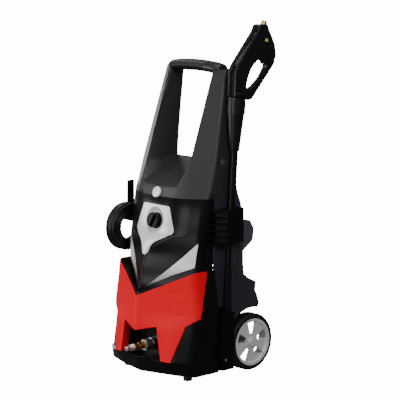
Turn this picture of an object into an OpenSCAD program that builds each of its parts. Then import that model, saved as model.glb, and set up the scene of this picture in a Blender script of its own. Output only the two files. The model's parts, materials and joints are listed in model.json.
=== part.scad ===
// Upright electric pressure washer on two wheels, with its spray gun parked in the side holders.
// Millimetres. Z is up, the front faces -Y, and the origin is on the floor at the middle of the object.

/* [Body] */
// wall thickness of the plastic mouldings
wall = 3; // [2.4:0.1:3.6]
// height of the top of the body, where the handle starts
body_top = 505; // [500:1:510]
// how far the underside is above the floor
floor_gap = 17; // [14:1:20]
// plane where the front and rear mouldings meet
split_y = -52; // [-56:1:-50]

/* [Handle] */
// height at which the two arms end under the grip
arm_top = 852; // [846:1:856]
// half of the clear width between the arms
window_half = 87; // [80:1:90]
// height of the window's front lip
window_lip = 532; // [526:1:540]
// height of the window's rear lip
window_rear_lip = 596; // [585:1:605]

/* [Wheels] */
// wheel diameter over the tyre
wheel_d = 163; // [150:1:165]
// tyre width
tyre_w = 40; // [34:1:42]
// distance from the middle of the body to a wheel's outer face
track_half = 168; // [166:1:172]
// axle diameter
axle_d = 12; // [10:1:14]
// how far the axle is behind the middle of the object
axle_y = 84; // [82:1:86]

/* [Spray gun and lance] */
// angle at which the lance leans back
lance_lean = 3.8; // [3:0.1:4.6]
// diameter of the lance's lower tube
lance_d = 16; // [14:1:18]
// diameter of the lance's upper tube
lance_upper_d = 22; // [20:1:24]
// half thickness of the gun's body
gun_half = 16; // [15:0.5:18]
// radius of the collar between the gun and the lance
gun_collar_r = 25; // [22:0.5:25]
// radius of the thread on top of the gun
gun_inlet_r = 8; // [7:0.5:9]

/* [Controls and water] */
// knob diameter
knob_d = 44; // [38:1:48]
// diameter of the outlet nipple's nose
nipple_d = 14; // [12:1:16]
// diameter of the inlet's thread
inlet_d = 26.4; // [24:0.1:28]

/* [Power cord] */
// cord diameter
cord_d = 8.5; // [7:0.5:10]
// mean radius of the hanging coil
coil_r = 52; // [50:1:54]
// width of the coil's bundle across the turns
coil_w = 34; // [33:1:36]
// depth of the coil's bundle from its inside to its outside
coil_depth = 34.6; // [33:0.1:36]

/* [Hidden] */
$fn = 48;

// Plan sections. Each row is a height, then the right half of the outline going round from the
// middle of the front: [z, front y, knee x, knee y, side x, side y].
COVER = [
    [244, -204, 8, -200, 152, -120],
    [271, -190, 8, -187, 150, -110],
    [317, -183, 8, -180, 148, -102],
    [350, -174, 10, -172, 149, -100],
    [380, -165, 30, -162, 149, -97],
    [410, -143, 72, -137, 149, -92],
    [440, -134, 76, -131, 150, -88],
    [480, -128, 80, -125, 150, -80],
    [505, -130, 85, -124, 150, -74]];
RED = [
    [50, -206, 115, -189, 172, -152],
    [150, -215, 105, -178, 176, -135],
    [187, -213, 105, -165, 177, -133],
    [250, -208, 98, -162, 165, -134],
    [315, -203, 93, -162, 154, -135]];
HOUSING = [
    [17, -194, 80, -172, 166, -146],
    [23, -203, 84, -183, 171, -150],
    [57, -206, 115, -189, 172, -152],
    [58, -202, 112, -185, 168, -148],
    [150, -211, 102, -174, 172, -131],
    [187, -209, 102, -161, 173, -129]];
HANDLE = [
    [505, -130, 85, -124, 150, -74],
    [532, -120, 84, -114, 149, -64],
    [597, -93, 84, -88, 147, -45],
    [852, 1, 88, 4, 120, 21]];
// Rear of the body: [z, side x, rear y, reach of the corner's curve]
REAR = [
    [17, 112, 94, 38],
    [26, 116, 98, 38],
    [188, 116, 101, 38],
    [196, 148, 102, 38],
    [300, 149, 102, 90],
    [440, 149, 101, 90],
    [480, 150, 76, 50],
    [505, 150, 50, 18]];
// Rear of the handle: [z, rear y]
HANDLE_REAR = [[505, 50], [540, 42], [597, 32], [852, 58]];

wheel_r = wheel_d / 2;
rim_r = wheel_r - 14.5;
axle_r = axle_d / 2;
axle_z = wheel_r;
tyre_outer_x = track_half - 2;
tyre_inner_x = tyre_outer_x - tyre_w;
motor_y = -25;
motor_r = 56;
outlet_z = 88;
inlet_x = -25;
inlet_z = 104;
knob_z = 436;
knob_y = -134;
coil_x = -169;
coil_y = -90;
coil_z = 392;
lance_x = 165;
gun_pivot = [76, 886];
lock_at = [88, 915];
gun_screw_r = 3.2;
sleeve_end = 609;

function lerp(a, b, t) = a + (b - a) * t;
function bez(a, b, c, t) = (1 - t) * (1 - t) * a + 2 * t * (1 - t) * b + t * t * c;
function unit(v) = v / norm(v);
function toward(a, b, d) = a + unit(b - a) * min(d, norm(b - a) * 0.45);

// A table's row at height z, between its own rows.
function row_at(table, z, i = 0) =
    z <= table[0][0] ? concat([z], [for (k = [1:len(table[0]) - 1]) table[0][k]])
    : i >= len(table) - 2 || z <= table[i + 1][0]
        ? lerp(table[i], table[i + 1], (z - table[i][0]) / (table[i + 1][0] - table[i][0]))
        : row_at(table, z, i + 1);

// A polyline with its inner corners rounded; cuts[i] is how far each corner's curve reaches.
function rounded(p, cuts, n) = concat([p[0]],
    [for (i = [1:len(p) - 2])
        for (k = [0:n])
            bez(toward(p[i], p[i - 1], cuts[i]), p[i], toward(p[i], p[i + 1], cuts[i]), k / n)],
    [p[len(p) - 1]]);

// A ring with all its corners rounded.
function rounded_ring(p, cuts, n) = [for (i = [0:len(p) - 1])
    let (before = p[(i + len(p) - 1) % len(p)], after = p[(i + 1) % len(p)])
        for (k = [0:n]) bez(toward(p[i], before, cuts[i]), p[i], toward(p[i], after, cuts[i]), k / n)];

// The right half of the front outline at one height, from left of the nose to the side wall.
function half_outline(s) = rounded(
    [[-s[2], s[3]], [0, s[1]], [s[2], s[3]], [s[4], s[5]], [s[4], s[5] + 60]],
    [0, 12, s[0] > 400 ? 40 : 18, 18, 0], 4);
function y_on(line, x, i = 0) = i >= len(line) - 2 || line[i + 1][0] >= x
    ? lerp(line[i][1], line[i + 1][1], (x - line[i][0]) / max(0.01, line[i + 1][0] - line[i][0]))
    : y_on(line, x, i + 1);

// The front outline at height z, from the left side round the nose to the right side. Its points
// keep the same share of the width at every height, so rows of them line up.
SHARES = [0, 0.05, 0.12, 0.22, 0.34, 0.46, 0.58, 0.7, 0.8, 0.88, 0.94, 0.98, 1];
function front_line(table, z, back_y, depth = 0) =
    let (s = row_at(table, z), half = half_outline(s), last = len(SHARES) - 1,
         right = [for (f = SHARES) [f * s[4], y_on(half, min(f * s[4], s[4] - 0.01))]])
    inward(concat([[-s[4], back_y]],
        [for (i = [last:-1:1]) [-right[i][0], right[i][1]]],
        right,
        [[s[4], back_y]]), depth);
// Each point's share of the half width, in the same order.
COLUMNS = concat([1], [for (i = [len(SHARES) - 1:-1:1]) SHARES[i]], SHARES, [1]);
function front_y(table, x, z) =
    let (s = row_at(table, z)) y_on(half_outline(s), min(abs(x), s[4] - 0.01));

// The rear outline at one height, from the right side round the back to the left side.
function rear_path(s, front_y) = rounded(
    [[s[1], front_y], [s[1], s[2]], [-s[1], s[2]], [-s[1], front_y]], [0, s[3], s[3], 0], 4);

// Moves a polyline inward, which is to the left of its direction.
function inward(p, t) = [for (i = [0:len(p) - 1])
    let (d = unit(p[min(i + 1, len(p) - 1)] - p[max(i - 1, 0)])) p[i] + t * [-d[1], d[0]]];
function inward_ring(p, t) = [for (i = [0:len(p) - 1])
    let (d = unit(p[(i + 1) % len(p)] - p[(i + len(p) - 1) % len(p)])) p[i] + t * [-d[1], d[0]]];

function raised(p, z) = [for (q = p) [q[0], q[1], z]];
function flat_list(a) = [for (row = a) for (q = row) q];

// A sheet with thickness: rows of outer points and the same rows of inner points.
module sheet(outer, inner) {
    m = len(outer);
    n = len(outer[0]);
    b = m * n;
    faces = concat(
        [for (j = [0:m - 2]) for (i = [0:n - 2]) let (a = j * n + i) each [
            [a, a + n, a + n + 1], [a, a + n + 1, a + 1],
            [b + a, b + a + n + 1, b + a + n], [b + a, b + a + 1, b + a + n + 1]]],
        [for (i = [0:n - 2]) let (a = i, t = (m - 1) * n + i) each [
            [a, a + 1, b + a + 1], [a, b + a + 1, b + a],
            [t, b + t + 1, t + 1], [t, b + t, b + t + 1]]],
        [for (j = [0:m - 2]) let (a = j * n, e = j * n + n - 1) each [
            [a, b + a, b + a + n], [a, b + a + n, a + n],
            [e, b + e + n, b + e], [e, e + n, b + e + n]]]);
    polyhedron(concat(flat_list(outer), flat_list(inner)), faces, 6);
}

// A solid through closed rings, each at one height.
module loft(rings) {
    m = len(rings);
    n = len(rings[0]);
    faces = concat(
        [for (j = [0:m - 2]) for (i = [0:n - 1])
            let (a = j * n + i, c = j * n + (i + 1) % n) each [[a, a + n, c + n], [a, c + n, c]]],
        [[for (i = [0:n - 1]) i]],
        [[for (i = [n - 1:-1:0]) (m - 1) * n + i]]);
    polyhedron(flat_list(rings), faces, 6);
}

// A prism along Y from a front-view outline [x, z].
module along_y(points, y0, y1) {
    translate([0, y1, 0])
        rotate([90, 0, 0])
            linear_extrude(y1 - y0) polygon(points);
}

// A prism along X from a side-view outline [y, z].
module along_x(points, x0, x1) {
    translate([x0, 0, 0])
        rotate([90, 0, 90])
            linear_extrude(x1 - x0) polygon(points);
}

module rod_x(r, x0, x1, y, z) {
    translate([x0, y, z]) rotate([0, 90, 0]) cylinder(h = x1 - x0, r = r);
}

module rod_y(r, y0, y1, x, z) {
    translate([x, y0, z]) rotate([-90, 0, 0]) cylinder(h = y1 - y0, r = r);
}

module rod_z(r, z0, z1, x, y) {
    translate([x, y, z0]) cylinder(h = z1 - z0, r = r);
}

module block(x0, x1, y0, y1, z0, z1) {
    translate([x0, y0, z0]) cube([x1 - x0, y1 - y0, z1 - z0]);
}

// The lance's own frame: its Z runs up the lance from the nozzle's tip, its Y points back.
module on_lance() {
    translate([lance_x, -31, 25]) rotate([-lance_lean, 0, 0]) children();
}

function pair(points) = concat(points, [for (i = [len(points) - 1:-1:0]) [-points[i][0], points[i][1]]]);

// ---------------------------------------------------------------- body mouldings

// Height of the upper cover's V-shaped lower edge, and of the red cover's top edge, by the
// distance from the middle.
function v_edge(x) = abs(x) < 141 ? 250 + 138 * pow(abs(x) / 141, 1.12) : 388;
function red_edge(x) = 233 + 74 * min(abs(x), 155) / 155;

module upper_front_cover() {
    steps = [0, 0.1, 0.2, 0.3, 0.4, 0.5, 0.57, 0.63, 0.7, 0.745, 0.82, 0.9, 1];
    function row(t, depth) = [for (i = [0:len(COLUMNS) - 1])
        let (z = lerp(v_edge(COLUMNS[i] * 149), body_top, t), q = front_line(COVER, z, split_y, depth)[i])
            [q[0], q[1], z]];
    difference() {
        sheet([for (t = steps) row(t, 0)], [for (t = steps) row(t, wall)]);
        on_panel() rotate([90, 0, 0]) translate([0, 0, -30]) cylinder(h = 60, r = 9);
    }
}

module red_solid(depth, back) {
    loft([for (s = RED) raised(front_line(RED, s[0], back, depth), s[0])]);
}

module red_front_cover() {
    outline = pair([[0, 136], [65, 153], [82, 58], [115, 58], [142, 159], [190, 192], [190, 302],
        [154, 307], [0, 233]]);
    side = [[-260, 40], [-128, 40], [-128, 180], [-86, 297], [-86, 320], [-260, 320]];
    intersection() {
        difference() {
            red_solid(0, -70);
            red_solid(wall, -60);
        }
        along_y(outline, -260, -60);
        along_x(side, -200, 200);
    }
    intersection() {
        for (side = [0, 1])
            mirror([side, 0, 0]) {
                along_y([[0, 136], [65, 153], [65, 156.5], [0, 139.5]], -230, -165);
                along_y([[65, 153], [81.4, 61.5], [84.9, 61.5], [68, 156.5], [65, 156.5]], -230, -165);
            }
        red_solid(0.1, -70);
    }
}

module front_housing() {
    low = [for (s = HOUSING) s[0]];
    n = len(COLUMNS) - 1;
    function low_row(z, depth) = raised(front_line(HOUSING, z, split_y, depth), z + floor_gap - 17);
    function red_row(t, depth) = [for (i = [0:n])
        let (z = lerp(187, red_edge(COLUMNS[i] * 155) - 0.5, t),
             q = front_line(RED, z, split_y, depth + wall + 1)[i]) [q[0], q[1], z]];
    function top_row(t, depth) = [for (i = [0:n])
        let (z = lerp(red_edge(COLUMNS[i] * 155) + 1, v_edge(COLUMNS[i] * 149) - 1, t),
             q = front_line(COVER, z, split_y, depth + wall + 2.5)[i]) [q[0], q[1], z]];
    function rows(depth) = concat(
        [for (z = low) low_row(z, depth)],
        [for (t = [0.5, 1]) red_row(t, depth)],
        [for (t = [0, 0.25, 0.5, 0.75, 1]) top_row(t, depth)]);
    difference() {
        union() {
            sheet(rows(0), rows(wall));
            intersection() {
                difference() {
                    along_y(pair([[0, 148], [75, 166], [94, 57]]), -230, -145);
                    along_y(pair([[0, 144], [72, 162.5], [91, 61]]), -240, -148);
                }
                loft([for (z = low) raised(front_line(HOUSING, z, -100, 1), z)]);
            }
            for (side = [0, 1])
                mirror([side, 0, 0])
                    along_y([[112, 20], [165, 20], [167, 24], [166.5, 57], [170.6, 150], [171.6, 187],
                        [159, 250], [148, 302], [144, 302], [144, 194], [112, 194]], split_y - wall, split_y);
        }
        along_y(pair([[0, 144], [72, 162.5], [91, 61]]), -240, -148);
        rod_y(10.3, -160, -140, 0, outlet_z);
    }
}

// Side outline of a mudguard: its lower edge is an arc round the axle.
module mudguard() {
    arc = [for (a = [76:7:139]) [axle_y + 99 * cos(a), axle_z + 99 * sin(a)]];
    outline = concat([[99, 228], [109, 209], [115, 188]], arc,
        [[6, 156], [6, 296], [39, 294], [71, 268], [102, 253]]);
    inner_arc = [for (a = [78:6:136]) [axle_y + 104 * cos(a), axle_z + 104 * sin(a)]];
    inner = concat([[95, 226], [105, 207], [109, 190]], inner_arc,
        [[10, 162], [10, 290], [37, 290], [69, 264], [98, 249]]);
    difference() {
        along_x(outline, 117, 160);
        along_x(inner, 110, 157);
    }
}

module rear_housing() {
    difference() {
        union() {
            sheet([for (s = REAR) raised(rear_path(s, split_y), s[0] + (s[0] == 17 ? floor_gap - 17 : 0))],
                [for (s = REAR) raised(inward(rear_path(s, split_y), wall), s[0] + (s[0] == 17 ? floor_gap - 17 : 0))]);
            for (side = [-1, 1])
                scale([side, 1, 1])
                    difference() {
                        mudguard();
                        block(100, 146, -20, 130, 194, 320);
                    }
        }
        rod_x(axle_r + 0.3, -130, 130, axle_y, axle_z);
        rod_y(inlet_d / 2 + 0.3, 80, 120, inlet_x, inlet_z);
        rod_y(6.5, 80, 120, -85, 330);
        for (i = [0:5])
            block(-60, 60, 85, 120, 200 + 14 * i, 206 + 14 * i);
    }
}

module base_pan() {
    outline = [[-150, -62], [-150, -136], [-74, -156], [74, -156], [150, -136], [150, -62], [106, -56],
        [106, 50], [80, 76], [-80, 76], [-106, 50], [-106, -56]];
    difference() {
        translate([0, 0, floor_gap]) linear_extrude(4) polygon(outline);
        for (x = [-60, 0, 60]) for (y = [-40, 10])
            translate([x - 15, y, floor_gap - 1]) cube([30, 8, 6]);
    }
}

module on_body(z0, z1) {
    difference() {
        children();
        loft([for (z = [z0, 380, 410, 440, z1]) if (z >= z0) raised(front_line(COVER, z, 60, -0.3), z)]);
    }
}

module on_panel() {
    translate([0, knob_y, knob_z]) rotate([-12, 0, 0]) children();
}

// A thin plate lying on the upper cover's surface: levels[i] is a height, and edges[i] is the
// plate's left and right edge there.
module cover_patch(levels, edges, from, to) {
    n = 12;
    function row(i, depth) = [for (k = [0:n])
        let (x = lerp(edges[i][0], edges[i][1], k / n)) [x, front_y(COVER, x, levels[i]) + depth, levels[i]]];
    sheet([for (i = [0:len(levels) - 1]) row(i, from)], [for (i = [0:len(levels) - 1]) row(i, to)]);
}

module control_panel() {
    half = [[345, 4], [352, 9], [362, 13], [373, 18], [382, 26], [390, 41], [399, 58], [408, 74],
        [425, 69], [442, 63], [461, 57], [480, 52]];
    difference() {
        cover_patch([for (q = half) q[0]], [for (q = half) [-q[1], q[1]]], -5, -3);
        on_panel() rotate([90, 0, 0]) translate([0, 0, -20]) cylinder(h = 60, r = knob_d / 2 + 0.8);
    }
}

module panel_trim() {
    low = [[12, 255.5], [30, 265.5], [46, 275], [60, 283], [76, 291.5], [90, 298], [104, 304], [119, 310.5], [133, 317]];
    function row(t, depth) = [for (q = low)
        let (x = lerp(q[0], q[0] + 6, t), z = lerp(q[1], v_edge(x) - 1.5, t))
            [x, front_y(COVER, x, z) + depth, z]];
    steps = [0, 0.33, 0.66, 1];
    sheet([for (t = steps) row(t, 0.2)], [for (t = steps) row(t, 1.8)]);
}

module badge_disc() {
    translate([0, -128, 515])
        rotate([70, 0, 0])
            difference() {
                cylinder(h = 3, r = 15.5);
                translate([0, 0, 2]) cylinder(h = 2, r = 13);
            }
}

// ---------------------------------------------------------------- handle

function handle_ring(z, depth) =
    let (s = row_at(HANDLE, z), r = row_at(HANDLE_REAR, z)[1])
    inward_ring(rounded_ring(
        [[-s[4], s[5]], [-s[2], s[3]], [0, s[1]], [s[2], s[3]], [s[4], s[5]], [s[4], r], [-s[4], r]],
        [18, 30, 40, 30, 18, 18, 18], 3), depth);

module handle_solid(depth, z0, z1) {
    loft([for (z = [z0, 540, 597, 700, z1]) raised(handle_ring(z, depth), z)]);
}

module handle_window(grow) {
    half = window_half + grow;
    lip = window_lip - grow;
    slope = (window_rear_lip - window_lip) / 150;
    intersection() {
        along_y(pair([[66 + grow, lip], [half, lip + 65], [half, 900]]), -200, 200);
        along_x([[-200, lip - 83 * slope], [120, lip + 237 * slope], [120, 900], [-200, 900]], -150, 150);
    }
}

module handle_moulding() {
    difference() {
        handle_solid(0, body_top, arm_top);
        handle_window(0);
        difference() {
            handle_solid(wall, body_top - 1, arm_top - wall);
            handle_window(wall);
        }
    }
}

module handle_front_half() {
    along_x([[-200, 500], [-25, 500], [-25, 597], [27, arm_top + 5], [-200, arm_top + 5]], -150, 150);
}

module handle_core() {
    rod_x(8.5, -86, 86, 28, 858);
    for (side = [-1, 1])
        translate([side * 90, 0, 0]) block(-8, 8, 16, 40, arm_top, arm_top + 8);
}

module handle_grip() {
    reach = 103;
    function ring(x) = let (t = x / reach, end = sqrt(max(0, 1 - pow(abs(t), 12))))
        [for (a = [0:15:345]) [x, 28 + (10 + 17 * end) * cos(a), 858 - 7 * t * t + (10 + 6 * end) * sin(a)]];
    difference() {
        loft([for (t = [-1, -0.98, -0.94, -0.8, -0.5, -0.25, 0, 0.25, 0.5, 0.8, 0.94, 0.98, 1]) ring(t * reach)]);
        for (side = [-1, 1])
            translate([side * 106.7, 0, 0]) block(-20, 20, -10, 70, 800, arm_top);
        handle_core();
    }
}

module rear_hose_hook() {
    along_x([[102, 300], [203, 306], [243, 332], [247, 366], [232, 392], [206, 396], [206, 346],
        [190, 330], [102, 330]], -8, 8);
    along_x([[102, 288], [110, 288], [110, 342], [102, 342]], -26, 26);
}

module cord_hook() {
    on_body(395, 470) block(-187, -112, -102, -78, 412, 424.3);
    difference() {
        along_x([[-102, 412], [-60, 412], [-46, 426], [-46, 520], [-70, 520], [-72, 444], [-102, 424.3]], -190, -186.5);
        along_x([[-62, 440], [-54, 440], [-54, 508], [-62, 508]], -193, -189.2);
    }
}

// ---------------------------------------------------------------- holders for the lance

module lance_bracket() {
    fins = 6;
    on_body(372, 482)
        difference() {
            union() {
                translate([0, 0, 378])
                    linear_extrude(96) polygon([[140, -50], [183, -33], [183, 30], [168, 36], [140, 20]]);
                for (i = [0:fins - 1])
                    translate([0, 0, 380 + 17.8 * i])
                        linear_extrude(4) polygon([[140, -104 + 4 * i], [183, -44], [183, -30], [140, -44]]);
            }
            on_lance() translate([0, 0, 300]) cylinder(h = 200, r = lance_upper_d / 2 + 1.2);
        }
}

module lance_pocket() {
    difference() {
        union() {
            block(146, 184, split_y, -7, 24, 176);
            block(145, 185, split_y, -5, 176, 184);
        }
        on_lance() translate([0, 0, -0.3]) cylinder(h = 240, r = 14);
    }
}

// ---------------------------------------------------------------- wheels

module wheel_tyre() {
    rotate([90, 0, 90])
        rotate_extrude($fn = 96)
            polygon([[rim_r, tyre_inner_x], [wheel_r - 4, tyre_inner_x], [wheel_r, tyre_inner_x + 6],
                [wheel_r, tyre_outer_x - 6], [wheel_r - 4, tyre_outer_x], [rim_r, tyre_outer_x]]);
}

module wheel_rim() {
    face_x = tyre_outer_x - 5;
    difference() {
        rotate([90, 0, 90])
            rotate_extrude($fn = 96)
                polygon([[axle_r + 0.06, tyre_inner_x - 8], [15, tyre_inner_x - 8], [15, face_x - 5],
                    [rim_r - 5, face_x - 5], [rim_r - 5, tyre_inner_x + 2], [rim_r, tyre_inner_x + 2],
                    [rim_r, tyre_outer_x + 1], [rim_r - 7, tyre_outer_x + 1], [rim_r - 11, face_x],
                    [18, face_x + 2], [axle_r + 0.06, face_x + 2]]);
        for (i = [0:4])
            rotate([i * 72, 0, 0])
                along_x([[-6.5, 23], [6.5, 23], [14, 57], [-14, 57]], face_x - 12, face_x + 8);
    }
}

module wheel_cap() {
    translate([tyre_outer_x - 3, 0, 0])
        rotate([0, 90, 0])
            difference() {
                union() {
                    cylinder(h = 4, r = 14);
                    cylinder(h = 7, r = 11);
                }
                translate([0, 0, -1]) cylinder(h = 3, r = axle_r + 1);
            }
}

module at_wheel(side) {
    translate([0, axle_y, axle_z]) scale([side, 1, 1]) children();
}

module wheel_axle() {
    axle_half = tyre_outer_x - 5;
    rod_x(axle_r, -axle_half, axle_half, axle_y, axle_z);
    for (side = [-1, 1])
        translate([side * 116.4, 0, 0]) rod_x(axle_r + 4, -1.2, 1.2, axle_y, axle_z);
}

module rubber_feet() {
    for (side = [-1, 1])
        rod_z(13, 0, floor_gap, side * 122, -126);
}

module cover_screws() {
    for (side = [-1, 1], z = [140, 240])
        translate([side * 60, 101, z - 90]) rotate([-90, 0, 0]) cylinder(h = 4, r = 4);
    rod_x(3.5, 184, 186, -40, 54);
}

// ---------------------------------------------------------------- water fittings

module water_inlet() {
    difference() {
        union() {
            rod_y(inlet_d / 2, 90, 126, inlet_x, inlet_z);
            rod_y(18, 102, 107, inlet_x, inlet_z);
        }
        rod_y(8, 80, 130, inlet_x, inlet_z);
    }
}

module outlet_adaptor() {
    difference() {
        union() {
            rod_y(10, -179, -145, 0, outlet_z);
            translate([0, -179, outlet_z]) rotate([90, 30, 0]) cylinder(h = 22, r = 10.5, $fn = 6);
            rod_y(8.5, -216, -200, 0, outlet_z);
        }
        rod_y(4, -220, -140, 0, outlet_z);
    }
}

module outlet_nut() {
    difference() {
        union() {
            translate([0, -154, outlet_z]) rotate([90, 0, 0]) cylinder(h = 25, r = 17, $fn = 6);
            rod_y(16, -154, -148, 0, outlet_z);
        }
        rod_y(10.06, -182, -146, 0, outlet_z);
    }
}

module outlet_nipple() {
    r = nipple_d / 2;
    translate([0, -216, outlet_z])
        rotate([90, 0, 0])
            rotate_extrude()
                polygon([[3, 0], [r + 2.5, 0], [r + 2.5, 4], [r, 5], [r, 7], [r + 2, 8], [r + 2, 11],
                    [r, 12], [r, 14], [r + 1, 15], [r + 1, 17], [r, 18], [r, 28], [r - 2, 30], [3, 30]]);
}

module inlet_pipe() {
    difference() {
        rod_y(8, 6, 89, inlet_x, inlet_z);
        rod_y(5, 0, 95, inlet_x, inlet_z);
    }
}

module outlet_pipe() {
    difference() {
        rod_y(8, -145, -66, 0, outlet_z);
        rod_y(4, -150, -60, 0, outlet_z);
    }
}

// ---------------------------------------------------------------- motor and pump

module motor_can() {
    difference() {
        rod_z(motor_r, 222, 352, 0, motor_y);
        rod_z(motor_r - 3, 225, 353, 0, motor_y);
        rod_z(11, 220, 230, 0, motor_y);
    }
    difference() {
        rod_z(motor_r - 3, 248, 332, 0, motor_y);
        rod_z(38, 240, 340, 0, motor_y);
    }
}

module motor_end_cap() {
    difference() {
        rod_z(motor_r, 352, 358, 0, motor_y);
        rod_z(7, 350, 360, 0, motor_y);
        for (i = [0:7])
            translate([0, motor_y, 350]) rotate(i * 45) translate([34, 0, 0]) cylinder(h = 10, r = 8);
    }
}

module rotor_shaft() {
    rod_z(6, 190, 386, 0, motor_y);
    rod_z(36.5, 250, 330, 0, motor_y);
}

module cooling_fan() {
    difference() {
        union() {
            rod_z(14, 364, 382, 0, motor_y);
            rod_z(46, 364, 366, 0, motor_y);
            for (i = [0:8])
                translate([0, motor_y, 365])
                    rotate(i * 40) translate([10, -1, 0]) cube([35, 2, 15]);
        }
        rod_z(6, 360, 390, 0, motor_y);
    }
}

module swash_plate() {
    difference() {
        rod_z(28, 172, 200, 0, motor_y);
        translate([-40, motor_y, 174]) rotate([10, 0, 0]) translate([0, -40, -30]) cube([80, 80, 30]);
        rod_z(6, 190, 205, 0, motor_y);
    }
}

module pump_housing() {
    difference() {
        rod_z(46, 128, 215, 0, motor_y);
        rod_z(32, 166, 216, 0, motor_y);
        for (i = [0:2])
            translate([0, motor_y, 120]) rotate(90 + i * 120) translate([20, 0, 0]) cylinder(h = 60, r = 7.2);
    }
}

module pump_pistons() {
    for (i = [0:2])
        translate([0, motor_y, 129]) rotate(90 + i * 120) translate([20, 0, 0]) cylinder(h = 35, r = 7);
}

module pump_head() {
    difference() {
        rod_z(46, 72, 128, 0, motor_y);
        rod_y(8, -80, -60, 0, outlet_z);
        rod_y(4, -66, -40, 0, outlet_z);
        rod_y(8, 6, 40, inlet_x, inlet_z);
        rod_y(5, -20, 10, inlet_x, inlet_z);
    }
}

module motor_bracket() {
    difference() {
        block(-140, 140, motor_y - 66, 70, 215, 222);
        rod_z(30, 210, 230, 0, motor_y);
    }
    for (side = [-1, 1])
        block(side * 142 - 3, side * 142 + 3, motor_y - 20, 50, 212, 252);
}

module switch_box() {
    difference() {
        block(-28, 28, -112, -66, 404, 462);
        block(-25, 25, -109, -60, 407, 459);
        on_panel() rotate([90, 0, 0]) translate([0, 0, -60]) cylinder(h = 60, r = 5.3);
    }
    block(-28, -20, -123, -112, 448, 462);
    block(20, 28, -123, -112, 448, 462);
}

module capacitor() {
    rod_z(18, 222, 312, 92, 30);
    rod_z(4, 312, 318, 86, 30);
    rod_z(4, 312, 318, 98, 30);
}

module power_knob() {
    on_panel()
        rotate([90, 0, 0]) {
            translate([0, 0, 4]) cylinder(h = 10, r = knob_d / 2);
            translate([0, 0, -38]) cylinder(h = 43, r = 5);
            rotate(25) translate([-4, -knob_d / 2 + 4, 13]) cube([8, knob_d - 8, 7]);
        }
}

// ---------------------------------------------------------------- power cord

// A round tube through points; each ring's axes are carried along from the last one.
module cord_tube(p, r) {
    n = 10;
    m = len(p);
    function dir(i) = unit(p[min(i + 1, m - 1)] - p[max(i - 1, 0)]);
    function side_at(i) = i == 0 ? unit(cross(dir(0), abs(dir(0)[2]) > 0.9 ? [1, 0, 0] : [0, 0, 1]))
        : let (s = side_at(i - 1), d = dir(i)) unit(s - d * (s * d));
    loft([for (i = [0:m - 1])
        let (d = dir(i), u = side_at(i), v = cross(d, u))
            [for (k = [0:n - 1]) p[i] + r * (cos(360 * k / n) * u + sin(360 * k / n) * v)]]);
}

// A smooth line through the middles of a route's legs, from its first point to its last.
function curve3(p, n) = [for (i = [1:len(p) - 2])
    let (last = len(p) - 2,
         a = i == 1 ? p[0] : (p[i - 1] + p[i]) / 2,
         b = i == last ? p[i + 1] : (p[i] + p[i + 1]) / 2)
        for (k = [0:i == last ? n : n - 1]) bez(a, p[i], b, k / n)];

LEAD = [[-85, 134, 330], [-85, 193, 330], [-144, 212, 294], [-176, 154, 281], [-172, 60, 310],
    [-168, -6, 380], [-164, -22, 457], [-156, -90, 457]];
TAIL = [[-182, -90, 327], [-182, -34, 327], [-172, -34, 272]];

module power_cord() {
    cord_tube(curve3(LEAD, 6), cord_d / 2);
    cord_tube(curve3(TAIL, 5), cord_d / 2);
}

module power_cord_coil() {
    translate([coil_x, coil_y, coil_z])
        rotate([0, 90, 0])
            rotate_extrude()
                translate([coil_r - coil_depth / 2, -coil_w / 2])
                    square([coil_depth, coil_w]);
}

module cord_gland() {
    translate([-85, 99, 330])
        rotate([-90, 0, 0])
            difference() {
                union() {
                    cylinder(h = 3, r = 6.5);
                    translate([0, 0, 3]) cylinder(h = 3, r = 11);
                    translate([0, 0, 6]) cylinder(h = 29, r1 = 8, r2 = 5.6);
                }
                translate([0, 0, 34.9]) cylinder(h = 2, r = 4);
            }
}

module power_plug() {
    translate([-172, -34, 205]) {
        translate([0, 0, 55]) cylinder(h = 12, r1 = 9, r2 = 6);
        translate([0, 0, 19]) cylinder(h = 36, r = 12.5);
        for (side = [-1, 1])
            translate([0, side * 9.5, 0]) cylinder(h = 19, r = 2.4);
    }
}

// ---------------------------------------------------------------- gun and lance

GUN_BODY = [[-21, 758], [-24, 835], [58, 941], [62, 953], [68, 958], [92, 958], [100, 942],
    [126, 902], [131, 868], [102, 846], [94, 858], [82, 866], [62, 861], [45, 848], [28, 823],
    [20, 798], [21, 786], [21, 758]];
GUN_GUARD = [[131, 868], [133, 853], [50, 752], [36, 748], [21, 756], [21, 786], [30, 778], [54, 784],
    [86, 813], [102, 840], [102, 846]];
TRIGGER_SLOT = [[8, 790], [12, 784], [24, 780], [38, 798], [52, 824], [66, 844], [92, 856], [99, 872],
    [98, 888], [92, 904], [66, 908], [50, 886], [36, 860], [22, 834], [13, 812]];
TRIGGER = [[70, 898], [84, 892], [88, 878], [82, 866], [68, 859], [54, 847], [42, 830], [35, 812],
    [30, 794], [27, 786], [23, 784], [21, 789], [25, 808], [31, 826], [45, 850], [60, 872]];
GUN_SCREWS = [[-15, 838], [-15, 771], [108, 900]];

// The inlet's own frame: its Z runs out of the top of the grip.
module on_inlet() {
    translate([0, 84, 938]) rotate([-15, 0, 0]) children();
}

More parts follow.
